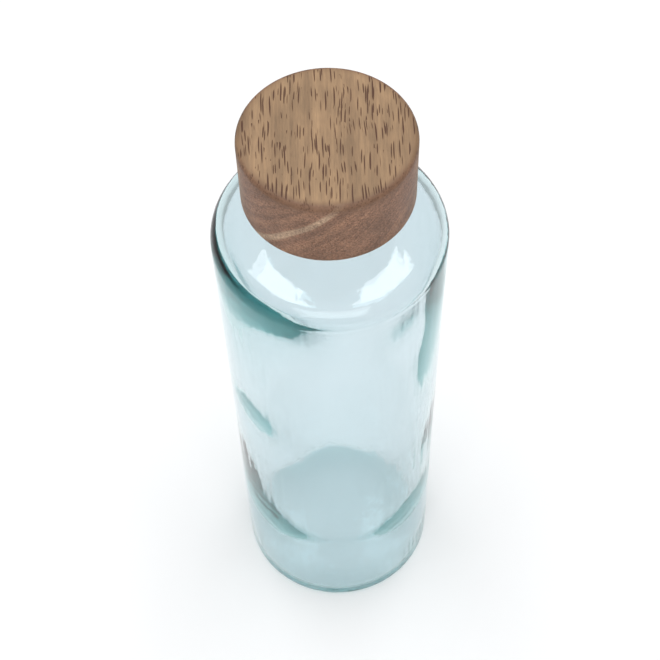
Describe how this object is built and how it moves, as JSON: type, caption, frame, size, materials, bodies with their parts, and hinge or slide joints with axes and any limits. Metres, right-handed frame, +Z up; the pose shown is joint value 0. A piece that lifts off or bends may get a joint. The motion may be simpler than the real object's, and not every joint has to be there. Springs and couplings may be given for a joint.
{
  "type": "glass water bottle",
  "caption": "Straight-sided blue-green glass water bottle with a rounded shoulder, short hidden neck and a thick round wooden push-in lid with a silicone seal.",
  "frame": {"origin": "centre of the ring the bottle stands on, on the table", "axes": "+Z up along the bottle's axis, towards the lid; +Y along the grain of the lid"},
  "size_m": [0.075, 0.075, 0.2507],
  "materials": {
    "glass": "clear, faint blue-green tint, darker where thick",
    "lid_wood": "oiled acacia with open pores, grain across the lid",
    "plug_wood": "oiled acacia, fine turned",
    "silicone": "translucent white silicone, satin"
  },
  "bodies": {
    "bottle": {"glass_bottle": "glass"},
    "lid": {"lid_head": "lid_wood", "lid_plug": "plug_wood", "silicone_seal": "silicone"}
  },
  "joints": [
    {"name": "lid_lift", "type": "slide", "parent": "bottle", "child": "lid", "axis": [0, 0, 1], "range_m": [0, 0.03]}
  ]
}
